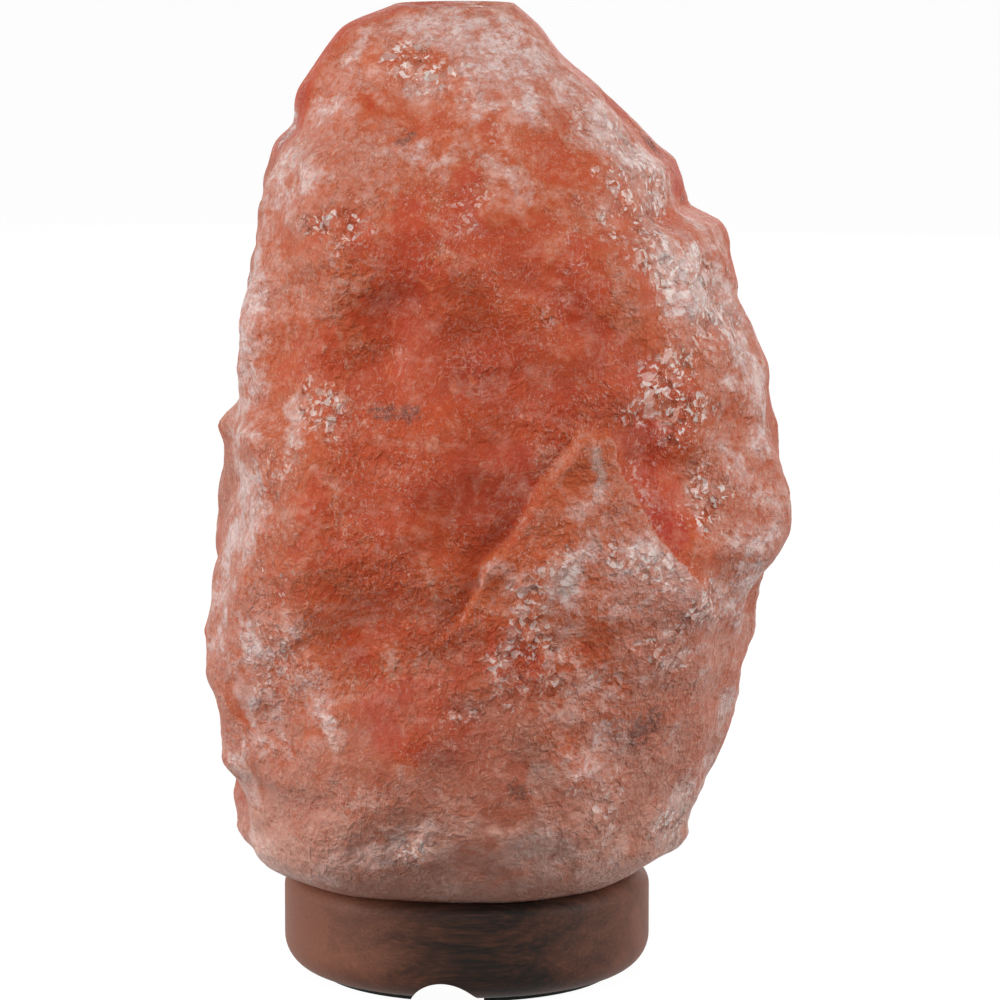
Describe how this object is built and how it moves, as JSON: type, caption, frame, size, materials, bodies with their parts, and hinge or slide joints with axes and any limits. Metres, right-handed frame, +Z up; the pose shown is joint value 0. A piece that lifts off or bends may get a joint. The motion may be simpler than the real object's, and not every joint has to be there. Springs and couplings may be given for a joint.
{
  "type": "salt crystal lamp",
  "caption": "Rough rock salt crystal on a turned wooden base, hollowed from below for a small screw bulb on a push-in lamp unit with sprung clips.",
  "frame": {"origin": "on the table under the middle of the wooden base, on the felt pad's underside", "axes": "+Z up; -Y is the front, the side the picture shows; +X to the right seen from the front"},
  "size_m": [0.1586, 0.1362, 0.265],
  "materials": {
    "rock_salt": "glossy broken crystal, translucent orange to pink",
    "stained_wood": "matte dark stain",
    "felt": "matte pressed felt",
    "zinc_steel": "zinc plated",
    "spring_steel": "bright rolled strip",
    "nylon": "plain nylon",
    "black_plastic": "satin black",
    "bush_plastic": "satin black",
    "porcelain": "unglazed white",
    "brass": "plain",
    "cap_metal": "plain bright",
    "black_glass": "black vitrite",
    "solder": "dull solder",
    "clear_glass": "clear",
    "stem_glass": "clear, slightly grey",
    "lead_metal": "nickel wire",
    "tungsten": "dark grey"
  },
  "bodies": {
    "lamp_body": {"wooden_base": "stained_wood", "felt_pad": "felt", "salt_crystal": "rock_salt", "crystal_screws": "zinc_steel", "wall_plugs": "nylon"},
    "lamp_unit": {"cover_cup": "zinc_steel", "clip_roots": "spring_steel", "clip_rivets": "zinc_steel", "nipple": "zinc_steel", "lock_washer": "spring_steel", "nipple_nut": "zinc_steel", "cord_bush": "bush_plastic", "holder_cap": "black_plastic", "holder_skirt": "black_plastic", "holder_core": "porcelain", "contact_shell": "brass", "terminal_screws": "brass", "contact_tongue": "brass"},
    "clip_1": {"clip_arm_1": "spring_steel"},
    "clip_2": {"clip_arm_2": "spring_steel"},
    "clip_3": {"clip_arm_3": "spring_steel"},
    "bulb_foot": {"foot_contact": "solder"},
    "bulb": {"bulb_cap": "cap_metal", "bulb_insulator": "black_glass", "bulb_glass": "clear_glass", "glass_stem": "stem_glass", "lead_wires": "lead_metal", "support_wire": "lead_metal", "filament": "tungsten"}
  },
  "joints": [
    {"name": "unit_pull", "type": "slide", "parent": "lamp_body", "child": "lamp_unit", "axis": [0, 0, -1], "range_m": [0, 0.125]},
    {"name": "clip_flex_1", "type": "hinge", "parent": "lamp_unit", "child": "clip_1", "pos_m": [0, 0.0183, 0.0183], "axis": [1, 0, 0], "range_deg": [0, 9], "stiffness_Nm_per_rad": 0.6},
    {"name": "clip_flex_2", "type": "hinge", "parent": "lamp_unit", "child": "clip_2", "pos_m": [-0.01585, -0.00915, 0.0183], "axis": [-0.5, 0.866, 0], "range_deg": [0, 9], "stiffness_Nm_per_rad": 0.6},
    {"name": "clip_flex_3", "type": "hinge", "parent": "lamp_unit", "child": "clip_3", "pos_m": [0.01585, -0.00915, 0.0183], "axis": [-0.5, -0.866, 0], "range_deg": [0, 9], "stiffness_Nm_per_rad": 0.6},
    {"name": "bulb_rise", "type": "slide", "parent": "lamp_unit", "child": "bulb_foot", "axis": [0, 0, 1], "range_m": [0, 0.0128]},
    {"name": "bulb_turn", "type": "hinge", "parent": "bulb_foot", "child": "bulb", "pos_m": [0, 0, 0.06], "axis": [0, 0, 1], "range_deg": [0, 1620]}
  ],
  "couplings": [
    {"joint": "bulb_rise", "follows": "bulb_turn", "m_per_rad": 0.00044914}
  ]
}
